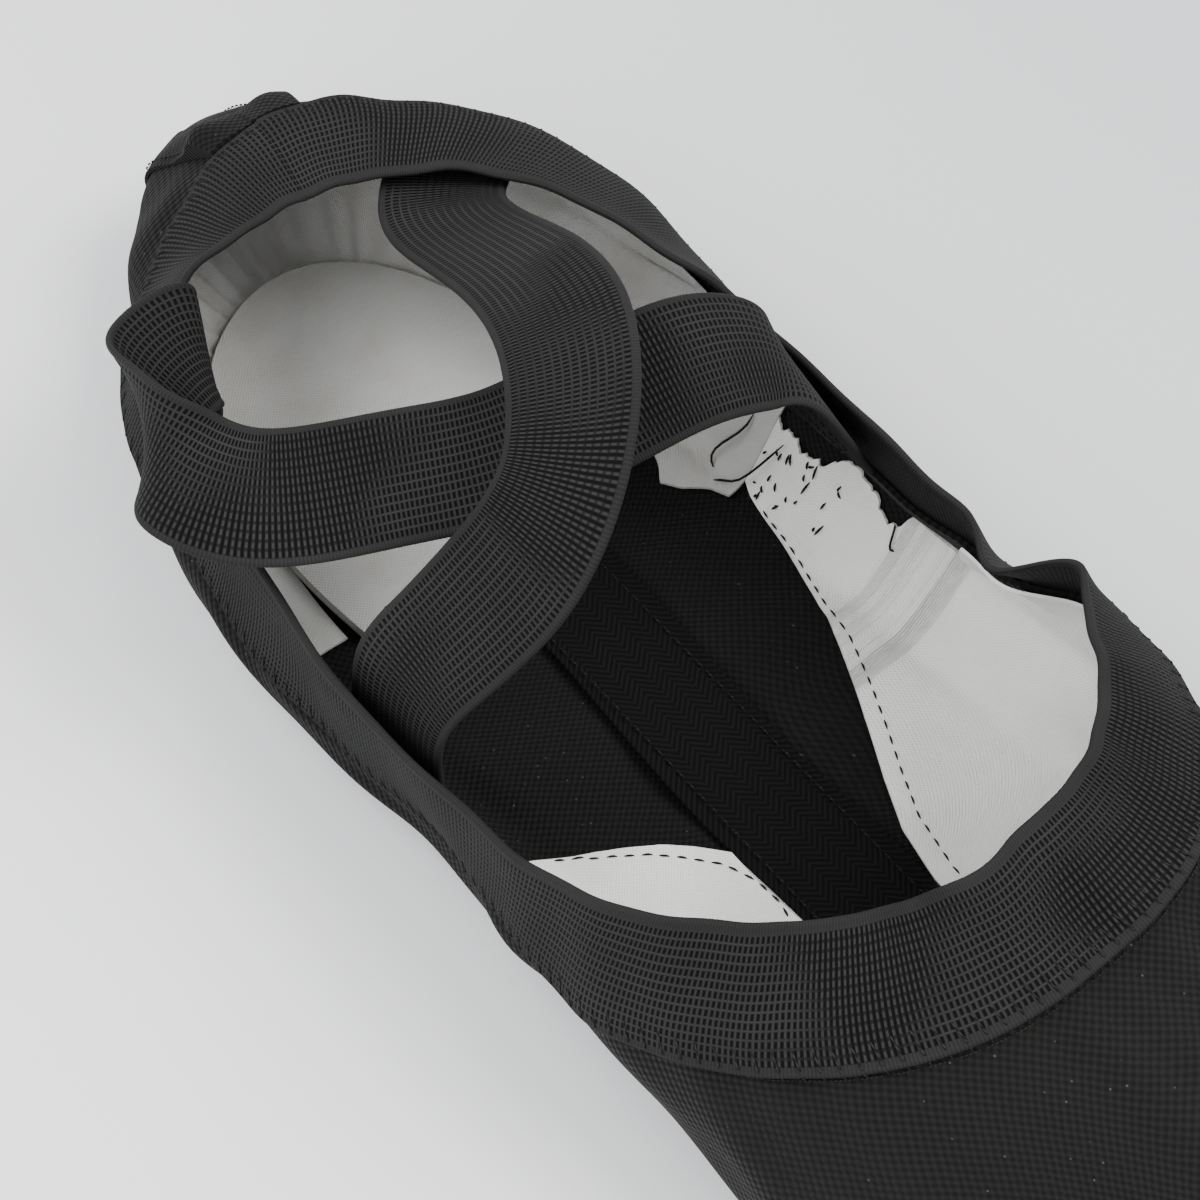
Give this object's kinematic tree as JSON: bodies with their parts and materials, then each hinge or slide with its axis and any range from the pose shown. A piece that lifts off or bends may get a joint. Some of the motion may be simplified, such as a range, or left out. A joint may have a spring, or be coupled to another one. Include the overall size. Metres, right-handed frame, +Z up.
{
  "type": "ballet slipper",
  "caption": "Black canvas split-sole ballet slipper with a wide elastic topline, crossed elastic foot straps, white cotton lining and suede sole pads.",
  "frame": {"origin": "on the floor under the middle of the slipper's outline", "axes": "+X from heel to toe, +Y to the slipper's left, +Z up"},
  "size_m": [0.2594, 0.1005, 0.0686],
  "materials": {
    "canvas": "black stretch cotton canvas, coarse plain weave, matt",
    "elastic": "charcoal ribbed elastic with corded edges",
    "tape": "black twill seam tape",
    "lining": "white brushed cotton lining",
    "sock": "white cotton canvas insole cover",
    "foam": "soft white latex foam",
    "suede": "dark grey split suede, napped",
    "thread": "black polyester thread",
    "thread_dark": "black tack stitches"
  },
  "bodies": {
    "forefoot": {"vamp_canvas": "canvas", "vamp_lining_right": "lining", "lining_thread_right": "thread", "forefoot_foam": "foam", "forefoot_sock": "sock", "forefoot_outsole": "suede", "forefoot_outsole_thread": "thread", "arch_seam_tape": "tape", "arch_tape_thread": "thread", "vamp_lining_left": "lining", "lining_thread_left": "thread"},
    "heel": {"quarter_canvas_right": "canvas", "quarter_canvas_left": "canvas", "topline_elastic": "elastic", "topline_thread": "thread", "heel_stay_tape": "tape", "heel_stay_thread": "thread", "heel_lining": "lining", "heel_foam": "foam", "heel_sock": "sock", "heel_outsole": "suede", "heel_outsole_thread": "thread"},
    "upper_strap": {"strap_over": "elastic", "strap_over_thread": "thread_dark"},
    "lower_strap": {"strap_under": "elastic", "strap_under_thread": "thread_dark"}
  },
  "joints": [
    {"name": "heel_fold", "type": "hinge", "parent": "forefoot", "child": "heel", "pos_m": [0.005, 0, 0.0022], "axis": [0, 1, 0], "range_deg": [0, 50], "deforming": ["quarter_canvas_right", "quarter_canvas_left", "topline_elastic", "topline_thread", "vamp_lining_left", "lining_thread_left", "arch_seam_tape", "arch_tape_thread"]},
    {"name": "upper_strap_swing", "type": "hinge", "parent": "heel", "child": "upper_strap", "pos_m": [-0.081, 0.016, 0.0385], "axis": [0.7377, -0.6727, -0.0563], "range_deg": [-8, 22], "stiffness_Nm_per_rad": 0.03},
    {"name": "lower_strap_swing", "type": "hinge", "parent": "heel", "child": "lower_strap", "pos_m": [-0.0835, -0.0258, 0.0365], "axis": [-0.7185, -0.694, -0.0467], "range_deg": [-7, 18], "stiffness_Nm_per_rad": 0.03}
  ],
  "couplings": [
    {"joint": "lower_strap_swing", "follows": "upper_strap_swing", "ratio": 0.8}
  ]
}
